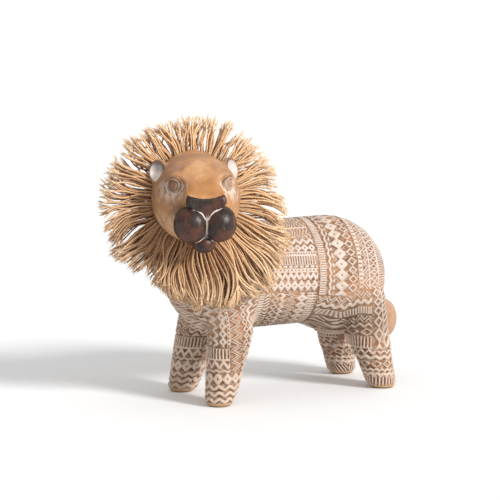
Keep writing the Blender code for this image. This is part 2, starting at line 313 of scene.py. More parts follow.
AHEAD = MANE_AXES[0]
BEHIND_MANE = (MANE_CENTRE - AHEAD * GROOVE_HALF_WIDTH, AHEAD)
BEFORE_MANE = (MANE_CENTRE + AHEAD * GROOVE_HALF_WIDTH, -AHEAD)
HEAD_PLACE = Matrix.Translation(HEAD_CENTRE) @ Matrix(HEAD_AXES.T.tolist()).to_4x4()


def fused(groups, voxel, ahead):
    """One skin round rough blocks, on the head's side of the mane or on the body's, drawn onto the blended surface."""
    blocks = bmesh.new()
    for masses, place, cut in groups:
        for mass in masses:
            for side in (1, -1):
                flip = Matrix.Diagonal((1, side, 1, 1))
                add_block(blocks, [place @ flip @ ball for ball in mass.balls()], cut)
    ring = Matrix.Translation(MANE_CENTRE) @ Matrix(MANE_AXES.T.tolist()).to_4x4()
    bmesh.ops.create_cone(blocks, cap_ends=True, segments=48, radius1=SEAT_RADIUS, radius2=SEAT_RADIUS,
                          depth=4 * GROOVE_HALF_WIDTH, matrix=ring @ Matrix.Rotation(math.pi / 2, 4, "Y"))
    mesh = bpy.data.meshes.new("rough")
    blocks.to_mesh(mesh)
    blocks.free()
    rough = bpy.data.objects.new("rough", mesh)
    bpy.context.scene.collection.objects.link(rough)
    remesh = rough.modifiers.new("fuse", "REMESH")
    remesh.mode = "VOXEL"
    remesh.voxel_size = voxel
    skin = bpy.data.meshes.new_from_object(rough.evaluated_get(bpy.context.evaluated_depsgraph_get()))
    bpy.data.objects.remove(rough)
    points = np.zeros(len(skin.vertices) * 3)
    skin.vertices.foreach_get("co", points)
    points = points.reshape(-1, 3)
    corners = np.zeros(len(skin.loops), np.int32)
    skin.loops.foreach_get("vertex_index", corners)
    quads = corners.reshape(-1, 4)
    place = ((points - MANE_CENTRE) @ AHEAD)[quads].mean(axis=1)
    quads = quads[place > -0.2 * MM] if ahead else quads[place < 0.2 * MM]
    used, renumbered = np.unique(quads, return_inverse=True)
    return drawn_to_surface(points[used]), renumbered.reshape(quads.shape)


# Numbers that are either arrays, for the shape, or wires in a material's node tree, for its colour and bump


class Wire:
    """A number in the node tree that is being made. It is reckoned with as a plain number is."""

    tree = None

    def __init__(self, socket):
        self.socket = socket

    def __add__(self, other):
        return node_of("ADD", self, other)

    def __sub__(self, other):
        return node_of("SUBTRACT", self, other)

    def __rsub__(self, other):
        return node_of("SUBTRACT", other, self)

    def __mul__(self, other):
        return node_of("MULTIPLY", self, other)

    def __truediv__(self, other):
        return node_of("DIVIDE", self, other)

    def __rtruediv__(self, other):
        return node_of("DIVIDE", other, self)

    __radd__ = __add__
    __rmul__ = __mul__


def plug(value, socket):
    """Sets a node's socket, or links a wire to it."""
    if isinstance(value, Wire):
        Wire.tree.links.new(value.socket, socket)
    else:
        socket.default_value = value


def node_of(operation, *values, clamp=False):
    node = Wire.tree.nodes.new("ShaderNodeMath")
    node.operation = operation
    node.use_clamp = clamp
    for value, socket in zip(values, node.inputs):
        plug(value, socket)
    return Wire(node.outputs[0])


def both_ways(on_arrays, operation):
    """A function that works on arrays and on wires alike."""

    def worked_out(*values):
        if any(isinstance(value, Wire) for value in values):
            return node_of(operation, *values)
        return on_arrays(*values)

    return worked_out


least = both_ways(np.minimum, "MINIMUM")
most = both_ways(np.maximum, "MAXIMUM")
size = both_ways(np.abs, "ABSOLUTE")
whole = both_ways(np.floor, "FLOOR")
sine = both_ways(np.sin, "SINE")
root = both_ways(np.sqrt, "SQRT")
above = both_ways(lambda a, b: (a > b) * 1.0, "GREATER_THAN")


def clamped(value, low, high):
    """0 below one value, 1 above another, and a straight rise between."""
    if isinstance(value, Wire):
        return node_of("MULTIPLY_ADD", value, 1 / (high - low), -low / (high - low), clamp=True)
    return np.clip((value - low) / (high - low), 0, 1)


def chosen_of(second, first, where_second):
    """The first number, or the second where the last is 1."""
    return first + (second - first) * where_second


RAMP_STEPS = 32


def looked_up(columns, band):
    """The entries of three columns of a table in a band's row."""
    if not isinstance(band, Wire):
        return [np.array(column, float)[band.astype(int)] for column in columns]
    found = []
    for start in range(0, len(columns[0]), RAMP_STEPS):
        ramp = Wire.tree.nodes.new("ShaderNodeValToRGB")
        ramp.color_ramp.interpolation = "CONSTANT"
        rows = list(zip(*(column[start:start + RAMP_STEPS] for column in columns)))
        stops = ramp.color_ramp.elements
        while len(stops) > 1:
            stops.remove(stops[-1])
        for place, row in enumerate(rows):
            stop = stops[0] if place == 0 else stops.new(place / RAMP_STEPS)
            stop.position = place / RAMP_STEPS
            stop.color = (*row, 1)
        plug((band + (0.5 - start)) * (1 / RAMP_STEPS), ramp.inputs[0])
        split = Wire.tree.nodes.new("ShaderNodeSeparateColor")
        Wire.tree.links.new(ramp.outputs[0], split.inputs[0])
        found.append([Wire(socket) for socket in split.outputs[:3]])
    values = found[0]
    for number, further in enumerate(found[1:], 1):
        later = above(band, number * RAMP_STEPS - 0.5)
        values = [chosen_of(second, first, later) for first, second in zip(values, further)]
    return values


# The carved bands. A band is (where it starts, what is carved in it, the pitch), in mm along the way across the bands

KINDS = {
    "groove": {},
    "worn": {"solid": 0.6},
    "line": {"solid": 1},
    "zigzag": {"zigzag": 1},
    "zigzags": {"zigzags": 1},
    "diamonds": {"diamond": 1, "dot": 1},
    "eyes": {"outline": 1, "dot": 1},
    "bars": {"bars": 1, "edge": 1},
    "ribs": {"bars": 1},
    "strokes": {"bars": 1, "sway": 1},
    "dots": {"solid": 1, "dot": 1},
    "dashes": {"bars": 1, "wide": 1},
    "ladder": {"bars": 1, "wide": 1, "edge": 1},
    "lozenges": {"diamond": 1, "dot": 1, "fat": 1},
    "teeth": {"zigzag": 1, "fat": 1},
}
FEATURES = ("zigzag", "zigzags", "diamond", "outline", "bars", "sway", "dot", "edge", "solid", "wide", "fat")

ARC = 0.72  # mm round the torso for each degree

BACK_ROWS = [
    (0, "worn", 4), (3, "strokes", 3.2), (11, "strokes", 2.8), (18, "zigzag", 4), (21, "strokes", 3),
    (31, "teeth", 6.4), (36.5, "lozenges", 6.4),
    (42.5, "dots", 2.4), (45.8, "bars", 2.3), (53.2, "dashes", 5), (55.8, "dots", 3.4), (59.2, "teeth", 5.2),
    (65, "lozenges", 6.2), (74, "zigzag", 4), (78, "strokes", 3), (92, "eyes", 6), (101, "zigzags", 7),
    (110, "strokes", 3.4), (125, "worn", 5),
]
RUMP_COLUMNS = [
    (13, "groove", 2), (14.2, "ladder", 1.9), (20.4, "groove", 2), (22.2, "zigzag", 6), (25.6, "strokes", 5),
    (28.4, "lozenges", 8.2), (39.6, "eyes", 6.8), (48.8, "groove", 4), (50, "ladder", 3.3), (54, "zigzags", 8),
    (60.6, "line", 4), (61.6, "eyes", 5.2), (71.6, "line", 3), (72.6, "ribs", 2.6), (96, "teeth", 5), (104, "ribs", 3),
]
THIGH_ROWS = [
    (0, "worn", 4), (3.2, "bars", 2.9), (12.2, "teeth", 5.5), (16, "zigzag", 5), (19.5, "eyes", 10),
    (26.2, "teeth", 8), (30.5, "zigzag", 6.5), (35.6, "line", 5), (36.4, "bars", 2.8), (46.2, "eyes", 12.5),
    (53, "zigzag", 7.2), (57.6, "zigzags", 7.2), (63.6, "groove", 5), (65, "ladder", 2.1), (71.4, "groove", 5),
    (72.6, "teeth", 6), (77.6, "zigzags", 8), (84.6, "line", 5),
]
SHOULDER_COLUMNS = [
    (-118, "strokes", 3.4), (-101, "zigzags", 6.6), (-92, "strokes", 4), (-87, "teeth", 6.4), (-80.5, "lozenges", 6.2),
    (-73.5, "dots", 3), (-71, "zigzags", 8.3), (-61, "groove", 2), (-59.8, "eyes", 5.4), (-52.2, "teeth", 6.6),
    (-46, "strokes", 4), (-42, "ladder", 2.1), (-36.5, "strokes", 3), (-30, "eyes", 6), (-22, "teeth", 5),
    (-17, "zigzags", 6), (-6, "lozenges", 6.6), (4, "ladder", 2.6), (8.5, "bars", 2.6),
]
SHIN_ROWS = [
    (0, "worn", 5), (3.4, "teeth", 9), (8.4, "teeth", 9), (13.4, "teeth", 9), (18.4, "lozenges", 7.8),
    (27.6, "zigzag", 6.4), (31, "teeth", 7), (37.6, "line", 5), (38.6, "bars", 2.8), (47.4, "line", 5),
]
SYSTEMS = [BACK_ROWS, RUMP_COLUMNS, THIGH_ROWS, SHOULDER_COLUMNS, SHIN_ROWS]
FIRST_BANDS = np.cumsum([0] + [len(bands) for bands in SYSTEMS])
BANDS = [band for bands in SYSTEMS for band in bands]
WIDEST = 46  # mm, the unit in which widths and pitches are listed


def half_widths():
    halves = []
    for bands in SYSTEMS:
        starts = [band[0] for band in bands]
        halves += [(end - start) / 2 for start, end in zip(starts, [*starts[1:], starts[-1] + 12])]
    return halves


TABLE = {name: [KINDS[kind].get(name, 0) for _, kind, _ in BANDS] for name in FEATURES}
TABLE["half"] = [half / WIDEST for half in half_widths()]
TABLE["pitch"] = [pitch / WIDEST for _, _, pitch in BANDS]


def carving(along, row, soft):
    """How far the carving stands up, from 0 in the cuts to 1 on the bands that are left. Lengths are in mm."""
    band = whole(row)
    zigzag, zigzags, diamond = looked_up([TABLE[name] for name in ("zigzag", "zigzags", "diamond")], band)
    outline, bars, sway = looked_up([TABLE[name] for name in ("outline", "bars", "sway")], band)
    dot, edge, solid = looked_up([TABLE[name] for name in ("dot", "edge", "solid")], band)
    half, pitch, wide = looked_up([TABLE[name] for name in ("half", "pitch", "wide")], band)
    fat, _, _ = looked_up([TABLE[name] for name in ("fat", "half", "pitch")], band)
    half, pitch = half * WIDEST, pitch * WIDEST

    def inked(depth):
        return clamped(depth, -soft, soft)

    across = (row - band - 0.5) * half * 2
    beat = (along + sway * (sine(across * 0.75 + along * 0.2) * 1.1 + sine(along * 0.31) * 0.8)) / pitch
    beside = size(beat - whole(beat) - 0.5) * pitch
    beyond = size(across)
    swing = (beside * 4 / pitch - 1) * (half - 0.9)
    from_line = size(across - swing) / (1 + half * 2 / pitch)
    reach = beside * 2 / pitch + beyond / half
    girth = least(pitch * 0.5, half) * 0.7
    raised = zigzag * inked(0.68 + fat * 0.35 - from_line)
    raised = raised + zigzags * inked(0.46 - size(from_line - 0.85))
    raised = raised + diamond * inked((0.97 + fat * 0.22 - reach) * girth)
    raised = raised + outline * inked(0.5 - size(0.8 - reach) * girth)
    raised = raised + bars * inked(pitch * (0.27 + wide * 0.10) - beside) * inked(half - 0.4 - beyond)
    raised = raised + edge * inked(beyond - half + 0.6)
    raised = most(raised, solid)
    point = inked(0.62 - root(beside * beside + beyond * beyond))
    return least(raised, 1) * (1 - dot * point)


def place_among(bands, position, first):
    """Which band a place is in, counted with the part of its width that lies before the place."""
    starts = [band[0] for band in bands]
    ends = np.array([*starts, starts[-1] + 12])
    return first + np.clip(np.interp(position, ends, np.arange(len(ends))), 0.001, len(bands) - 0.001)


def leg_arc(points, low, high, floor_radius, top_radius):
    """The way round a leg from its outer side, in mm, and across the body above it."""
    share = (points[:, 2] - low[2]) / (high[2] - low[2])
    centre = low[:2] + share[:, None] * (high[:2] - low[:2])
    radius = np.clip(floor_radius + share * (top_radius - floor_radius), floor_radius * 0.9, top_radius * 1.1)
    away = points[:, :2] - centre
    turn = np.arctan2(away[:, 0], away[:, 1])
    round_leg = centre[:, 0] + radius * turn
    return round_leg + (points[:, 0] - round_leg) * np.clip((points[:, 2] - 58) / 26, 0, 1)


def carving_places(points):
    """For each system of bands: the way along them, the band, and how far inside the system's region a point is."""
    p = folded(points) / MM
    x, y, z = p.T
    turn = np.degrees(np.arctan2((z + 0.07 * (x + 20) - 98) / 43, y / 38))
    round_torso = (90 - turn) * ARC
    over_rump = np.where(x < 50, x, 50 + 41 * np.arcsin(np.clip((x - 50) / 44, 0, 1)))
    hind = leg_arc(p, np.array((77.5, 33.5, -2)), np.array((61, 20, 70)), 10.5, 22.5)
    fore = leg_arc(p, np.array((-76.5, 33, -2)), np.array((-62, 26, 58)), 10.6, 18)
    on_torso = np.clip((x + 54) / 12, 0, 1) * np.clip((50 - x) / 12, 0, 1)
    round_belly = z + (163 - round_torso - z) * on_torso * (z > 50)
    columns = fore + (x - fore) * np.clip((x + 50) / 14, 0, 1)
    along = [x, round_torso, hind, round_belly, fore]
    rows = round_belly + 0.05 * (x - 40) * (1 - on_torso)
    across = [round_torso, over_rump, rows, columns, z]
    inside = [
        np.ones_like(x),
        x - 13,
        np.minimum(np.minimum(84.3 - rows, x - 14), np.maximum(61 - over_rump, 33 - z)),
        np.minimum(87.5 - z + 0.07 * (x + 20) * -1, 13 - x),
        np.minimum(-45 - x, np.maximum(27.8 - z, np.minimum(47.8 - z, -71 - fore))),
    ]
    return [
        np.stack((way, place_among(bands, position, first), depth), axis=1)
        for way, bands, position, first, depth in zip(along, SYSTEMS, across, FIRST_BANDS, inside)
    ]


def carved(places, soft):
    """The carving at a point, from the system whose region it is in."""
    along, row, _ = places[0]
    border = 99
    for way, band, depth in places[1:]:
        here = above(depth, 0)
        along, row = chosen_of(way, along, here), chosen_of(band, row, here)
        border = chosen_of(depth, least(size(depth), border), here)
    return carving(along, row, soft) * clamped(border, 0.25, 0.6 + soft)


# Materials


def new_material(name):
    made = bpy.data.materials.new(name)
    made.use_nodes = True
    Wire.tree = made.node_tree
    return made, made.node_tree.nodes["Principled BSDF"]


def kept(name):
    """The values that a mesh keeps under a name, as x, y and z."""
    node = Wire.tree.nodes.new("ShaderNodeAttribute")
    node.attribute_name = name
    split = Wire.tree.nodes.new("ShaderNodeSeparateXYZ")
    Wire.tree.links.new(node.outputs["Vector"], split.inputs[0])
    return [Wire(socket) for socket in split.outputs]


def kept_number(name):
    node = Wire.tree.nodes.new("ShaderNodeAttribute")
    node.attribute_name = name
    return Wire(node.outputs["Fac"])


def noise(scale, detail=3.0, roughness=0.55, stretch=(1, 1, 1)):
    """Noise with so many blotches to the metre, from about 0.2 to 0.8."""
    place = Wire.tree.nodes.new("ShaderNodeTexCoord")
    shaped = Wire.tree.nodes.new("ShaderNodeMapping")
    shaped.inputs["Scale"].default_value = stretch
    Wire.tree.links.new(place.outputs["Object"], shaped.inputs["Vector"])
    node = Wire.tree.nodes.new("ShaderNodeTexNoise")
    Wire.tree.links.new(shaped.outputs["Vector"], node.inputs["Vector"])
    node.inputs["Scale"].default_value = scale
    node.inputs["Detail"].default_value = detail
    node.inputs["Roughness"].default_value = roughness
    return Wire(node.outputs["Fac"])


def painted(first, second, share):
    """A mix of two colours, each a wire or three numbers."""
    node = Wire.tree.nodes.new("ShaderNodeMix")
    node.data_type = "RGBA"
    plug(share, node.inputs[0])
    for colour, socket in ((first, node.inputs[6]), (second, node.inputs[7])):
        if isinstance(colour, Wire):
            Wire.tree.links.new(colour.socket, socket)
        else:
            socket.default_value = (*colour, 1)
    return Wire(node.outputs[2])


def bumped(shader, height, distance, strength=1.0):
    node = Wire.tree.nodes.new("ShaderNodeBump")
    node.inputs["Distance"].default_value = distance
    node.inputs["Strength"].default_value = strength
    plug(height, node.inputs["Height"])
    Wire.tree.links.new(node.outputs["Normal"], shader.inputs["Normal"])


def washed_resin():
    made, shader = new_material("washed resin")
    places = [kept(f"system_{number}") for number in range(len(SYSTEMS))]
    # The note kept under the name under is a painted shade on the lower flank and the belly.
    low = kept_number("under")
    worn = noise(170, 4, 0.65)
    nape = clamped(kept_number("height"), 138, 154)
    raised = carved(places, 0.16) * (1 - nape) + nape * clamped(worn, 0.38, 0.58) * 0.8
    blotch = noise(42, 3)
    grain = noise(900, 3, 0.6)
    flecks = noise(430, 3, 0.6, (0.7, 0.7, 1.6))
    # Painted shade on the legs, growing towards the feet from 78 mm down: the ground is darker and less orange, the
    # wash browner and more of it rubbed away.
    leg = clamped(kept_number("height"), 78, 50)
    ground = painted((0.165, 0.072, 0.033), (0.38, 0.18, 0.075), clamped(blotch, 0.38, 0.64) * (1 - leg * 0.3))
    ground = painted(ground, (0.10, 0.042, 0.018), leg * clamped(worn, 0.45, 0.62) * 0.6)
    ground = painted(ground, (0.50, 0.36, 0.27), clamped(flecks + worn * 0.4, 0.66, 0.80) * 0.7)
    wash = painted((0.60, 0.49, 0.415), (0.40, 0.265, 0.18), clamped(worn, 0.53, 0.73) * 0.8)
    wash = painted(wash, (0.46, 0.345, 0.26), clamped(grain, 0.50, 0.75) * 0.6)
    wash = painted(wash, (0.50, 0.36, 0.245), leg * 0.45)
    rubbed = clamped(blotch + flecks * 0.7, 0.92, 1.12)
    colour = painted(ground, wash, raised * (1 - rubbed * (0.45 + leg * 0.2)))
    # Painted shade under the body: the lower flank and the belly are darkened, on the cuts and on the bands alike.
    colour = painted(colour, painted((0.10, 0.055, 0.033), (0.31, 0.225, 0.17), raised), low * 0.58)
    sole = clamped(kept_number("height"), 2.8, 3.6)
    colour = painted((0.46, 0.29, 0.145), colour, sole)
    # A dark line along the bottom 1.3 mm of the feet: partly the dark sole edge, partly a painted contact shadow where
    # they stand on the floor.
    colour = painted((0.07, 0.04, 0.025), colour, clamped(kept_number("height"), 0.5, 1.3))
    skin = clamped(kept_number("smooth"), -0.4, 0.6)
    tan = painted((0.38, 0.21, 0.115), (0.46, 0.29, 0.19), clamped(worn, 0.35, 0.65))
    colour = painted(colour, tan, skin)
    plug(colour, shader.inputs["Base Color"])
    plug(0.72 - raised * 0.08 + grain * 0.12, shader.inputs["Roughness"])
    bumped(shader, raised * 0.55 * sole * (1 - skin) + grain * 0.10 + worn * 0.10, 0.7 * MM, 0.9)
    return made


def face_paint():
    made, shader = new_material("painted face")
    dark, crease, lip = kept("muzzle")
    eye, cup, side = kept("eye")
    forward, across, up = kept("face")
    worn = noise(120, 4, 0.6)
    blotch = noise(38, 3)
    grain = noise(520, 3, 0.6, (1, 1, 0.35))
    speck = noise(1500, 2)
    tan = painted((0.49, 0.235, 0.090), (0.40, 0.18, 0.060), clamped(blotch, 0.40, 0.62))
    tan = painted(tan, (0.53, 0.30, 0.145), clamped(grain, 0.48, 0.70) * 0.6)
    on_bridge = clamped(forward, 20, 30) * clamped(size(across), 17, 14)
    tan = painted(tan, (0.40, 0.165, 0.045), on_bridge * 0.65)
    stain = noise(75, 3, 0.6)
    # Painted light: sunny is 1 on the side of the face towards the key light and 0 on the other; the face's colours
    # take lighter, lit copies and darker, shaded ones by it.
    sunny = clamped(across, -6, 6)
    tan = painted(tan, (0.33, 0.145, 0.045), clamped(stain, 0.50, 0.66) * 0.6)
    tan = painted(tan, (0.56, 0.33, 0.17), clamped(stain, 0.46, 0.34) * 0.6)
    crown = clamped(up, 12, 30)
    tan = painted(tan, (0.35, 0.195, 0.125), crown * clamped(worn + blotch, 0.80, 1.10) * 0.75)
    # Painted shade along the foot of the bridge's side walls.
    bridge_wall_shade = clamped(forward, 19, 24) * clamped(1.6 - size(size(across) - 17.6), 0, 1.4) * clamped(up, 1, 5)
    tan = painted(tan, (0.16, 0.085, 0.045), bridge_wall_shade * 0.6 * clamped(up, 24, 16))
    temple = clamped(forward, 26, 12) * clamped(size(across), 13, 20) * clamped(up, -14, 4) * clamped(up, 27, 18)
    lining = noise(300, 3, 0.65, (1, 1, 0.32))
    tan = painted(tan, (0.215, 0.125, 0.075), temple * clamped(lining + worn * 0.3, 0.52, 0.68) * 0.8)
    # Painted shade: dark brown, blotchy, on the jowl of the side away from the light.
    jowl = clamped(9 - size(up + 5), 0, 6) * clamped(size(across), 14, 18) * clamped(size(across), 29, 23)
    tan = painted(tan, (0.17, 0.085, 0.042), jowl * (1 - sunny) * clamped(stain + worn * 0.4, 0.48, 0.70) * 0.85)
    jaw = clamped(size(across), 12, 22) * clamped(up, -4, -16)
    tan = painted(tan, (0.52, 0.42, 0.33), jaw * clamped(lining, 0.46, 0.62) * 0.7)
    below_brow = clamped(up, 19, 15)
    near_eye = clamped(eye, 19, 6) * below_brow
    streaks = clamped(noise(330, 3, 0.6, (1, 1, 0.5)) + near_eye * 0.17 + clamped(size(across), 19, 26) * 0.05, 0.58, 0.68)
    # Round the eye: painted shade on the side away from the light, and pale wash streaks that are painted in a lighter,
    # lit copy on the other side.
    pale = painted((0.52, 0.42, 0.35), (0.64, 0.53, 0.45), sunny)
    tan = painted(tan, (0.24, 0.14, 0.085), near_eye * (1 - sunny) * 0.55)
    tan = painted(tan, pale, streaks * near_eye * 0.8)
    # A dark lid line round the eye, partly painted shadow: it is heavier along the top, under the brow, and lighter on
    # the lit side.
    lid = clamped(0.9 - size(eye - 5.8), 0, 0.8) * clamped(worn + clamped(up, 11, 17) * 0.4 - sunny * 0.15, 0.38, 0.62)
    tan = painted(tan, (0.085, 0.04, 0.022), lid * 0.9)
    # Painted shade in the hollow of the socket between the eye and the brow.
    socket = clamped(1.6 - size(eye - 7.6), 0, 1.6) * clamped(up, 13, 17) * clamped(up, 24, 20)
    tan = painted(tan, (0.20, 0.10, 0.05), socket * 0.6)
    tan = painted(tan, pale, clamped(0.6 - size(eye - 7.0 - (worn - 0.5) * 4), 0, 0.4) * 0.75 * clamped(up, 20, 15))
    # Painted light: the eyeball and the iris are lighter on the side towards the light, and the dark rim of the iris
    # fainter there.
    ball = painted((0.23, 0.13, 0.075), (0.50, 0.36, 0.26), sunny * 0.75 + clamped(worn, 0.45, 0.6) * 0.25)
    tan = painted(tan, ball, clamped(5.3 - eye + (grain - 0.5) * 1.5, 0, 0.6) * 0.85)
    iris = painted((0.20, 0.075, 0.03), (0.095, 0.045, 0.028), clamped(worn + grain * 0.5, 0.62, 0.85))
    iris = painted(iris, (0.37, 0.20, 0.10), sunny * 0.65)
    rim_of_iris = clamped(0.7 - size(eye - 3.9 + (worn - 0.5) * 1.5), 0, 0.6) * (1 - sunny * 0.6)
    tan = painted(tan, (0.07, 0.035, 0.022), rim_of_iris * 0.75)
    tan = painted(tan, iris, clamped(3.4 - eye + (worn - 0.5) * 1.5, 0, 0.8) * 0.85)
    # The ear's cup: its top is painted in shade, more on the side away from the light, and its upper rim is a painted
    # shadow.
    hollow = clamped(cup, 0.5, -0.3)
    shaded = clamped(up - size(across) * 0.9 + (worn - 0.5) * 16, -9, 1) * (1 - sunny * 0.9)
    inner = painted((0.90, 0.86, 0.83), (0.20, 0.19, 0.185), shaded)
    inner = painted(inner, (0.76, 0.60, 0.49), sunny * clamped(worn, 0.35, 0.6))
    rim = clamped(2.2 - cup, 0, 1) * clamped(up, 20, 25)
    tan = painted(tan, (0.105, 0.055, 0.035), rim * 0.9)
    tan = painted(tan, inner, hollow)
    # The dark paint of the nose and pads; its reddish patches are a painted reflection.
    muzzle = painted((0.024, 0.0135, 0.010), (0.085, 0.028, 0.015), clamped(stain + blotch * 0.4, 0.62, 0.84))
    muzzle = painted(muzzle, (0.012, 0.007, 0.006), clamped(worn, 0.52, 0.68) * 0.7)
    muzzle = painted(muzzle, (0.17, 0.115, 0.085), clamped(speck * 0.6 + grain * 0.6 + worn * 0.3, 0.82, 0.95) * 0.45)
    in_muzzle = clamped(dark + (grain - 0.5) * 0.8, -0.12, 0.12)
    colour = painted(tan, muzzle, in_muzzle)
    rubbed = clamped(stain, 0.36, 0.56)
    line = clamped(0.15 + rubbed * 0.5 - crease + (grain - 0.5) * 1.4, 0, 0.35) * (0.45 + rubbed * 0.4) * in_muzzle
    between_pads = clamped(size(across) * 2 + 0.4 - crease, 0, 0.2) * in_muzzle * clamped(forward, 20, 24)
    middle = clamped(1.0 - size(across) + (grain - 0.5) * 1.6, 0, 0.5) * between_pads * (0.55 + rubbed * 0.25)
    line = most(line, middle)
    under = clamped(0.75 - size(dark + 0.1) + (worn - 0.5) * 1.2, 0, 0.4) * clamped(lip, -8, -20)
    colour = painted(colour, (0.74, 0.66, 0.60), most(line, under * 0.85))
    plug(colour, shader.inputs["Base Color"])
    gloss = in_muzzle * (1 - most(line, under))
    plug(0.60 - gloss * 0.27 + (grain - 0.5) * 0.25 + speck * 0.06, shader.inputs["Roughness"])
    plug(0.5 - gloss * 0.18, shader.inputs["Specular IOR Level"])
    bumped(shader, grain * 0.3 + speck * 0.15 + worn * 0.6 + stain * 0.8, 0.8 * MM, 0.6)
    return made


def jute():
    made, shader = new_material("jute")
    # The cord's first number, chance here, is its tone: random for each cord, with painted light and shade added in
    # cord_paths.
    chance, along, ply = kept("cord")
    fibre = noise(2600, 3, 0.7)
    patch = noise(150, 3)
    lit = clamped(chance + (patch - 0.5) * 0.5, 0.0, 1.0)
    colour = painted((0.34, 0.145, 0.054), (0.88, 0.55, 0.285), lit)
    colour = painted(colour, (0.93, 0.70, 0.45), clamped(along, 0.5, 1.0) * (0.3 + lit * 0.55))
    # Painted shade at the roots, next to the head; less of it on lit cords.
    colour = painted(colour, (0.26, 0.11, 0.04), clamped(along, 0.5, 0.0) * (0.7 - lit * 0.35))
    # Painted shade in the valleys between the two plies.
    colour = painted((0.48, 0.26, 0.115), colour, clamped(ply, 0.0, 0.30) * 0.35 + 0.65)
    colour = painted(colour, (0.93, 0.73, 0.48), clamped(fibre, 0.55, 0.75) * 0.3)
    plug(colour, shader.inputs["Base Color"])
    shader.inputs["Roughness"].default_value = 0.85
    shader.inputs["Sheen Weight"].default_value = 0.25
    shader.inputs["Sheen Roughness"].default_value = 0.5
    bumped(shader, fibre * 0.5 + ply * 0.5, 0.3 * MM, 0.6)
    return made


# The casting's pieces


def soft_step(value, middle, width):
    return 1 / (1 + np.exp(-(value - middle) / width))


def ridge(value, width):
    return np.exp(-(value / width) ** 2)


def face_notes(points):
    """Places on the face in its own axes, in mm: from the dark muzzle's rim, its creases, the eyes and the ears."""
    local = (points - HEAD_CENTRE) @ HEAD_AXES.T
    face = folded(local)
    bridge, pad, chin = forms = [mass.distance(face) / MM for mass in (BRIDGE, PAD, CHIN)]
    skull = np.minimum(SKULL.distance(face), NAPE.distance(face)) / MM
    nearest, second = np.sort(forms, axis=0)[:2]
    nose_top = 5.9 + 2.7 * np.minimum(face[:, 1] / (14 * MM), 1.1) ** 2
    below_top = nose_top - face[:, 2] / MM
    nose = np.minimum(np.minimum(below_top, (face[:, 0] / MM - 38.6) * 1.5), skull - bridge + 1)
    dark = np.maximum(np.minimum(skull, bridge) - np.minimum(pad, chin), nose)
    on_pad = np.argmin(forms, axis=0) == 1
    crease = np.where(on_pad, np.minimum(second - nearest, 2 * face[:, 1] / MM), second - nearest)
    eye = EYE.local(face) / MM
    from_eye = np.linalg.norm(eye[:, 1:], axis=1) + 30 * (np.abs(eye[:, 0]) > 14)
    cup = EAR_CUP.distance(face) / MM
    return {
        "muzzle": np.stack((dark, crease, local[:, 2] / MM), axis=1),
        "eye": np.stack((from_eye, cup, local[:, 1] / MM), axis=1),
        "face": local / MM,
    }


def face_relief(notes):
    """How far the carving of the face moves the skin, in metres."""
    dark, crease, up = notes["muzzle"].T
    eye = notes["eye"][:, 0]
    cut = -0.45 * ridge(crease, 0.55) * soft_step(dark, 0, 0.2)
    cut -= 0.35 * ridge(dark + 0.2, 0.5) * (up < 2)
    cut += 0.35 * soft_step(dark, 0.3, 0.3) * (up > -8)
    cut -= 0.60 * ridge(eye - 5.7, 0.55)
    cut += 0.55 * ridge(eye - 4.5, 0.55)
    cut -= 0.50 * ridge(eye - 3.4, 0.35)
    cut += 0.30 * soft_step(2.9 - eye, 0, 0.15)
    side, high = np.abs(notes["face"][:, 1]), notes["face"][:, 2]
    in_front = notes["face"][:, 0] > 5
    cut += 1.5 * ridge(np.hypot((side - 18.5) / 6.5, (high - 21) / 3.0), 1) * in_front
    cut -= 1.7 * ridge(np.hypot((side - 13.5) / 3.0, (high - 15.5) / 4.5), 1) * in_front
    cut -= 0.9 * ridge(eye - 7.6, 1.4) * (high < 21) * in_front
    return cut * MM


def split_body(points, quads, normals, notes, finish):
    """The body in two pieces, cut between the front and the hind legs."""
    middle = points[quads][:, :, 0].mean(axis=1)
    pieces = []
    for name, chosen in (("body_front", middle < -22 * MM), ("body_rear", middle >= -22 * MM)):
        mesh = part_of(name, points, quads, chosen, normals, notes)
        pieces.append(placed(name, mesh, finish))
    return pieces


def placed(name, mesh, finish):
    made = bpy.data.objects.new(name, mesh)
    bpy.context.scene.collection.objects.link(made)
    mesh.materials.append(finish)
    return made


def build_body(finish):
    spot = Matrix.Identity(4)
    points, quads = fused([(BODY, spot, BEHIND_MANE), (HEAD, HEAD_PLACE, BEHIND_MANE)], BODY_VOXEL, ahead=False)
    outline = points
    places = carving_places(points)
    height = points[:, 2] / MM
    behind_mane = -((points - MANE_CENTRE) @ AHEAD) / MM
    tuft = TUFT.distance(folded(points)) / MM
    hind = least(THIGH.distance(folded(points)), RUMP.distance(folded(points))) / MM
    smooth = np.clip(least(hind, TAIL.distance(folded(points)) / MM + 3) - tuft, -9, 9) + (points[:, 0] < 85 * MM) * -20
    normals = slope_of(points)
    normals /= np.linalg.norm(normals, axis=1)[:, None]
    plain = np.clip((height - 3) / 1.0, 0, 1) * np.clip((behind_mane - 6.2) / 1.5, 0, 1) * (smooth < 0)
    plain *= 1 - np.clip((height - 138) / 16, 0, 1)
    depth = 0.95 + 0.65 * np.clip((70 - height) / 25, 0, 1)
    relief = (carved([values.T for values in places], 0.4) - 0.5) * depth * plain * MM
    relief += 0.10 * MM * np.sin(points[:, 0] * 310) * np.sin(points[:, 1] * 290 + 1) * np.sin(points[:, 2] * 330)
    points = points + normals * relief[:, None]
    points[:, 2] = np.maximum(points[:, 2], 0)
    notes = {f"system_{number}": values for number, values in enumerate(places)}
    # Where the painted shade under the body lies: from 40 to 86 mm up, behind the chest.
    below = np.clip((86 - height) / 24, 0, 1) * np.clip((height - 40) / 12, 0, 1)
    below *= np.clip((points[:, 0] / MM + 48) / 12, 0, 1)
    notes.update(height=height, smooth=smooth, under=below)
    return outline, split_body(points, quads, point_normals(points, quads), notes, finish)


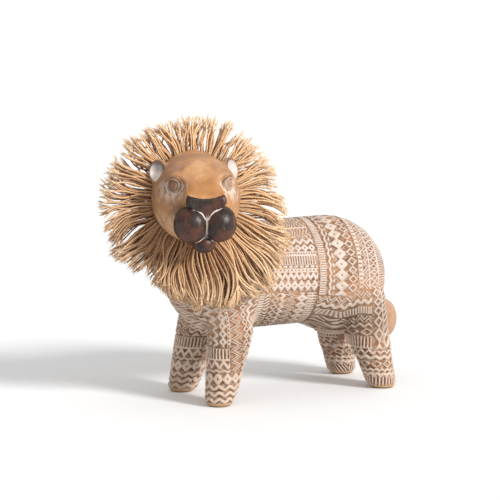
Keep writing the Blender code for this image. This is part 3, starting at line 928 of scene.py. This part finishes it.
def build_head(finish):
    points, quads = fused([(HEAD, HEAD_PLACE, BEFORE_MANE)], HEAD_VOXEL, ahead=True)
    outline = points
    notes = face_notes(points)
    normals = slope_of(points)
    normals /= np.linalg.norm(normals, axis=1)[:, None]
    points = points + normals * face_relief(notes)[:, None]
    mesh = mesh_of("head", points, quads)
    for name, values in notes.items():
        note(mesh, name, values)
    return outline, placed("head", mesh, finish)


# The mane: rows of two-ply cords, one behind another, gathered into locks that thin out to frayed tips

CORD_ROWS = 6
CORDS_IN_ROW = 118
CORD_RADIUS = 0.84 * MM
CORD_STEPS = 36
HANGING_CORDS = 200  # more of them under the chin, where they spread
TWISTS = 5.5
PLY_SHAPE = np.array((1.0, 0.84, 0.84, 1.0, 0.84, 0.84))
LOCKS = 46
LENGTH_SWAY = 0.14
LENGTH_SLANT = 0.03


def cord_length(turn):
    """The usual length of the cords that point in one direction."""
    return CORD_LENGTH * (1 - LENGTH_SWAY * np.sin(turn) - LENGTH_SLANT * np.sin(2 * turn))


def near_angle(first, second):
    """The turn from the second direction to the first, the short way round."""
    return (first - second + math.pi) % math.tau - math.pi


def cord_paths(chance):
    """The middle line of each cord, from its root in the groove to its tip."""
    rows = np.repeat(np.arange(CORD_ROWS), CORDS_IN_ROW)
    pitch = math.tau / CORDS_IN_ROW
    turn = np.tile(np.arange(CORDS_IN_ROW), CORD_ROWS) + rows * 0.5 + chance.uniform(-0.25, 0.25, len(rows))
    turn = turn * pitch
    kept_cords = chance.uniform(0, 1, len(rows)) > 0.03 + 0.20 * np.clip(np.sin(turn) - 0.2, 0, 1)
    more = chance.uniform(-0.95, -0.05, HANGING_CORDS) * math.pi
    rows = np.append(rows[kept_cords], chance.integers(0, CORD_ROWS - 1, HANGING_CORDS))
    turn = np.append(turn[kept_cords], more)
    count = len(rows)
    depth = (rows / (CORD_ROWS - 1) - 0.5) * (MANE_THICKNESS - 2 * CORD_RADIUS)
    lock_turns = (np.arange(LOCKS) + chance.uniform(-0.35, 0.35, LOCKS)) * math.tau / LOCKS
    lock_lengths = 1 + chance.uniform(-0.11, 0.08, LOCKS)
    lock_rise = chance.uniform(-1, 1, LOCKS)
    lock_bend = chance.uniform(-1, 1, LOCKS)
    offsets = near_angle(lock_turns[None, :], turn[:, None] + chance.normal(0, 0.02, count)[:, None])
    lock = np.argmin(np.abs(offsets), axis=1)
    to_lock = offsets[np.arange(count), lock]
    hanging = np.clip(-np.sin(turn), 0, 1)
    gather = chance.uniform(0.25, 0.85, count) * (1 - 0.6 * hanging)
    stray = chance.normal(0, 0.03, count) + (chance.uniform(0, 1, count) < 0.10) * chance.normal(0, 0.16, count)
    stray = stray * (1 - 0.55 * hanging)
    length = cord_length(turn) * lock_lengths[lock] * (1 + chance.uniform(-0.13, 0.04, count))
    length = length * (1 + 0.06 * ridge(near_angle(turn, 1.25), 0.45))
    length = length * (1 - 0.10 * ridge(near_angle(turn, 0.0), 0.22) - 0.04 * ridge(near_angle(turn, 3.2), 0.3))
    length = length * (1 - 0.01 * ridge(near_angle(turn, 2.15), 0.45) - 0.25 * ridge(near_angle(turn, -2.3), 0.42))
    length = length * (1 - 0.30 * ridge(near_angle(turn, -2.36), 0.07))
    share = np.linspace(0, 1, CORD_STEPS + 1)[None, :]
    heading = turn[:, None] + (to_lock * gather)[:, None] * share**1.2 + stray[:, None] * share**1.7
    falling = 0.3 + 0.7 * hanging
    shared = 0.07 * np.sin(5 * turn + 1.3) + 0.06 * np.sin(9 * turn + 0.4) + 0.03 * np.sin(17 * turn + 2)
    heading = heading + (shared * falling + lock_bend[lock] * 0.04)[:, None] * np.sin(share * math.pi * 1.1)
    shared = 0.035 * np.sin(7 * turn + 2.3) + 0.03 * np.sin(12 * turn)
    heading = heading + (shared * falling + chance.normal(0, 0.012, count))[:, None] * np.sin(share * math.tau)
    starts = chance.uniform(0, 6, count) * 0.35 + chance.uniform(0, 6, LOCKS)[lock] * 0.65
    curl = chance.normal(0.016, 0.014, count)[:, None] * np.sin(share * 7.5 + starts[:, None]) * share**0.8
    heading = heading + curl
    reach = SEAT_RADIUS - 0.5 * MM + length[:, None] * share
    side, up = np.cos(heading) * reach, np.sin(heading) * reach
    sag = chance.uniform(1.5, 5.5, count) * np.abs(np.cos(turn)) + 9 * np.clip(np.sin(-2 * turn), 0, 1) * (np.cos(turn) > 0)
    lower_left = np.clip(np.sin(2 * turn), 0, 1) * (np.sin(turn) < 0)
    sag = sag + 8 * lower_left
    side = side + (3.5 * MM * lower_left)[:, None] * share**2
    up = up - (sag * MM)[:, None] * share**2
    side = side - (4 * MM * np.clip(np.sin(-2 * turn), 0, 1) * (np.cos(turn) > 0))[:, None] * share**2.5
    puff = np.clip(depth / MM, 0, 9) * 0.55 + chance.uniform(-1.5, 1.5, count) + lock_rise[lock] * 1.8
    ahead = depth[:, None] * (1 - 0.25 * share) + (puff * MM)[:, None] * share**1.6
    wave = chance.uniform(0, math.tau, count)[:, None]
    ahead = ahead + 0.6 * MM * share * np.sin(share * 7 + wave)
    side = side + 0.45 * MM * share * np.sin(share * 9 + 2 * wave)
    ahead = np.maximum(ahead, -MANE_THICKNESS / 2 + CORD_RADIUS)
    local = np.stack((ahead, side, up), axis=2)
    # Each cord's tone is painted light and shade: lighter towards the upper right, where the light comes from, and
    # darker in the rear rows, where shade falls.
    tone_with_painted_light = 0.42 * rows / (CORD_ROWS - 1) + 0.40 * np.cos(turn - 0.8)
    return MANE_CENTRE + local @ MANE_AXES, share * (length / CORD_LENGTH)[:, None], tone_with_painted_light


def tubes(paths, radii, shape, twists, starts):
    """Tubes of a twisted shape along many lines at once. Gives their points and four-sided faces."""
    count, steps = paths.shape[:2]
    sides = len(shape)
    run = np.gradient(paths, axis=1)
    run /= np.linalg.norm(run, axis=2)[:, :, None]
    first = np.cross(run, AHEAD)
    first /= np.linalg.norm(first, axis=2)[:, :, None]
    second = np.cross(run, first)
    turn = np.arange(sides) / sides * math.tau
    twist = starts[:, None] + np.linspace(0, 1, steps)[None, :] * twists[:, None] * math.tau
    angle = turn[None, None, :] + twist[:, :, None]
    out = radii[:, :, None] * shape[None, None, :]
    points = (paths[:, :, None, :] + first[:, :, None, :] * (np.cos(angle) * out)[..., None]
              + second[:, :, None, :] * (np.sin(angle) * out)[..., None])
    index = np.arange(count * steps * sides).reshape(count, steps, sides)
    after = np.roll(index, -1, axis=2)
    quads = np.stack((index[:, :-1], index[:, 1:], after[:, 1:], after[:, :-1]), axis=3)
    return points, quads


def cord_meshes(finish, chance):
    paths, share, tone_with_painted_light = cord_paths(chance)
    count = len(paths)
    taper = np.ones((count, CORD_STEPS + 1)) * chance.uniform(0.84, 1.1, count)[:, None]
    taper[:, -3:] *= (0.92, 0.75, 0.35)
    twists = chance.uniform(0.85, 1.15, count) * TWISTS
    points, quads = tubes(paths, CORD_RADIUS * taper, PLY_SHAPE, twists, chance.uniform(0, 6, count))
    # Each cord's tone: random, plus the painted light and shade of cord_paths.
    shade = np.clip(chance.normal(0.24, 0.24, count) + tone_with_painted_light, -0.1, 1)
    ply = np.broadcast_to((PLY_SHAPE - 0.84) / 0.16, points.shape[:3])
    notes = np.stack((np.broadcast_to(shade[:, None, None], points.shape[:3]),
                      np.broadcast_to(share[:, :, None], points.shape[:3]), ply), axis=3)
    pieces = []
    for number, chosen in enumerate(np.array_split(np.arange(count), 3)):
        kept_points = points[chosen].reshape(-1, 3)
        first = quads[chosen].reshape(-1, 4)
        mesh = mesh_of(f"cords_{number}", kept_points, first - first.min())
        note(mesh, "cord", notes[chosen].reshape(-1, 3))
        pieces.append(placed(f"cords_{number}", mesh, finish))
    pieces.append(frayed_tips(paths, shade, finish, chance))
    return pieces


FIBRES = 6
FIBRE_STEPS = 4


def frayed_tips(paths, shade, finish, chance):
    """The loose fibres at the ends of the cords."""
    count = len(paths)
    tip, before = paths[:, -2], paths[:, -5]
    run = (tip - before) / np.linalg.norm(tip - before, axis=1)[:, None]
    share = np.linspace(0, 1, FIBRE_STEPS)[None, None, :, None]
    spread = chance.normal(0, 1, (count, FIBRES, 3)) * 1.1 * MM
    length = chance.uniform(1.6, 4.6, (count, FIBRES)) * MM
    start = tip[:, None, :] + chance.normal(0, 0.35, (count, FIBRES, 3)) * MM - run[:, None, :] * 1.6 * MM
    lines = (start[:, :, None, :] + run[:, None, None, :] * (length[:, :, None, None] + 1.6 * MM) * share
             + spread[:, :, None, :] * share**1.6)
    lines = lines.reshape(-1, FIBRE_STEPS, 3)
    ahead = (lines - MANE_CENTRE) @ AHEAD
    lines = lines + np.maximum(-MANE_THICKNESS / 2 + 0.3 * MM - ahead, 0)[..., None] * AHEAD
    radii = np.linspace(0.30, 0.10, FIBRE_STEPS)[None, :] * MM * chance.uniform(0.8, 1.2, len(lines))[:, None]
    points, quads = tubes(lines, radii, np.ones(3), np.zeros(len(lines)), np.zeros(len(lines)))
    mesh = mesh_of("frayed_tips", points.reshape(-1, 3), quads.reshape(-1, 4))
    tone_with_painted_light = np.repeat(np.clip(shade + 0.2, 0, 1), FIBRES * FIBRE_STEPS * 3)
    note(mesh, "cord", np.stack((tone_with_painted_light, np.ones_like(tone_with_painted_light) * 0.95, np.ones_like(tone_with_painted_light) * 0.8), axis=1))
    return placed("frayed_tips", mesh, finish)


# The scene


def build_all():
    chance = np.random.default_rng(11)
    outline, pieces = build_body(washed_resin())
    head_outline, head = build_head(face_paint())
    pieces.append(head)
    mane = cord_meshes(jute(), chance)
    corner = np.maximum(outline.max(axis=0), head_outline.max(axis=0))
    shift = np.array(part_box("lion_casting")[1]) - corner
    shift[2] = 0
    move = Matrix.Translation(shift)
    for piece in [*pieces, *mane]:
        piece.data.transform(move)
    return pieces, mane, shift


pieces, mane, shift = build_all()
for piece in pieces:
    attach(piece, "root")
    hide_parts("lion_casting")
for piece in mane:
    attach(piece, "root")
    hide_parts("cord_mane")


def build_floor():
    bpy.ops.mesh.primitive_plane_add(size=60)
    floor = bpy.context.object
    floor.name = "floor"
    made = bpy.data.materials.new("floor")
    made.use_nodes = True
    shader = made.node_tree.nodes["Principled BSDF"]
    shader.inputs["Base Color"].default_value = (0.9, 0.9, 0.9, 1)
    shader.inputs["Roughness"].default_value = 0.9
    shader.inputs["Specular IOR Level"].default_value = 0.1
    floor.data.materials.append(made)


CAMERA_DISTANCE = 2.4
CAMERA_AZIMUTH = math.radians(-28.65)
CAMERA_ELEVATION = math.radians(9.27)
CAMERA_LENS = 209.92
LIGHT_SIDE = math.radians(34)  # how far the key light stands towards the camera from the picture's right
LIGHT_ELEVATION = math.radians(27)


def build_camera(feet):
    back = Vector((math.sin(CAMERA_AZIMUTH) * math.cos(CAMERA_ELEVATION),
                   -math.cos(CAMERA_AZIMUTH) * math.cos(CAMERA_ELEVATION), math.sin(CAMERA_ELEVATION)))
    right = Vector((math.cos(CAMERA_AZIMUTH), math.sin(CAMERA_AZIMUTH), 0))
    target = feet + right * -0.0265 + back.cross(right) * 0.1139
    data = bpy.data.cameras.new("camera")
    data.lens = CAMERA_LENS
    data.sensor_width = 36
    data.clip_start, data.clip_end = 0.1, 200
    camera = bpy.data.objects.new("camera", data)
    bpy.context.scene.collection.objects.link(camera)
    camera.location = target + back * CAMERA_DISTANCE
    camera.rotation_mode = "QUATERNION"
    camera.rotation_quaternion = (-back).to_track_quat("-Z", "Y")
    bpy.context.scene.camera = camera
    return right


def build_light(right):
    towards = Vector((right.y, -right.x, 0))
    way = (right * math.cos(LIGHT_SIDE) + towards * math.sin(LIGHT_SIDE)) * math.cos(LIGHT_ELEVATION)
    way.z = math.sin(LIGHT_ELEVATION)
    data = bpy.data.lights.new("key", "SUN")
    data.energy = 3.2
    data.angle = math.radians(14)
    key = bpy.data.objects.new("key", data)
    bpy.context.scene.collection.objects.link(key)
    key.rotation_mode = "QUATERNION"
    key.rotation_quaternion = way.to_track_quat("Z", "Y")
    world = bpy.data.worlds.new("studio")
    bpy.context.scene.world = world
    world.use_nodes = True
    world.node_tree.nodes["Background"].inputs[0].default_value = (1, 1, 1, 1)
    world.node_tree.nodes["Background"].inputs[1].default_value = 0.72


build_floor()
feet = Vector((0.5 * MM + shift[0], shift[1], 0))
build_light(build_camera(feet))
bpy.context.scene.view_settings.view_transform = "Standard"
